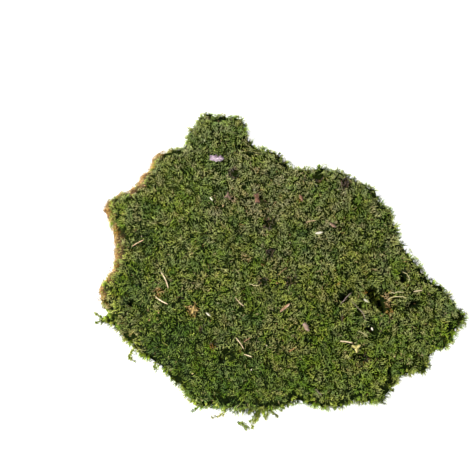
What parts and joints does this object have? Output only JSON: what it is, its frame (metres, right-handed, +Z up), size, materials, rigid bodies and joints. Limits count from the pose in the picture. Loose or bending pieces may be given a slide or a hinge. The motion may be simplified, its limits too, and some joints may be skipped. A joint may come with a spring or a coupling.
{
  "type": "sheet of moss",
  "caption": "Flat torn sheet of woodland moss with a lumpy green top, ragged edges and dry forest litter lying on it.",
  "frame": {"origin": "on the ground, under the middle of the sheet's bounding box", "axes": "+X along the sheet's length, towards its pointed right end; +Y away from the viewer of the picture; +Z up, out of the mossy side"},
  "size_m": [0.338, 0.2996, 0.0279],
  "materials": {
    "moss_green": "matt, mottled green and olive shoots, golden brown on the torn side",
    "needle_pale": "matt, pinkish beige, weathered",
    "needle_tan": "matt tan",
    "needle_brown": "matt brown",
    "needle_orange": "matt orange brown",
    "scale_pink": "matt pinkish tan, thin and papery",
    "scale_red": "matt reddish brown, thin and papery",
    "scale_yellow": "matt straw yellow, thin and papery",
    "scale_orange": "matt orange brown",
    "petal_lilac": "matt lilac, thin and dry",
    "husk_white": "matt off-white, thin and dry",
    "twig_grey": "matt grey brown bark",
    "stalk_straw": "matt pale straw"
  },
  "bodies": {
    "root": {"moss_mat": "moss_green", "needle_left": "needle_tan", "needle_pale_upper": "needle_pale", "needle_pale_lower": "needle_pale", "needle_centre_left": "needle_pale", "needle_centre_dark": "needle_brown", "needle_crossed_pale": "needle_pale", "needle_crossed_brown": "needle_brown", "needle_below_crossed": "needle_pale", "needle_orange": "needle_orange", "needle_right_tan": "needle_pale", "needle_upper_right": "needle_tan", "needle_far_right": "needle_pale", "bud_scale_long": "scale_pink", "bud_scale_upper": "scale_red", "bud_scale_upper_left": "scale_red", "bud_scale_upright": "scale_red", "bud_scale_small": "scale_red", "bud_scale_round": "scale_pink", "bud_scale_yellow": "scale_yellow", "bud_scale_orange": "scale_orange", "petal": "petal_lilac", "husk_white": "husk_white", "husk_by_pit": "husk_white", "husk_fleck": "husk_white", "husk_upper_left": "husk_white", "twig_kinked": "twig_grey", "twig_in_cleft": "twig_grey", "twig_near_edge": "twig_grey", "stalk_pale_centre": "stalk_straw", "stalk_right": "stalk_straw", "stalk_by_pit_upper": "stalk_straw", "stalk_by_pit_lower": "stalk_straw", "stalk_curled": "stalk_straw"}
  },
  "joints": []
}
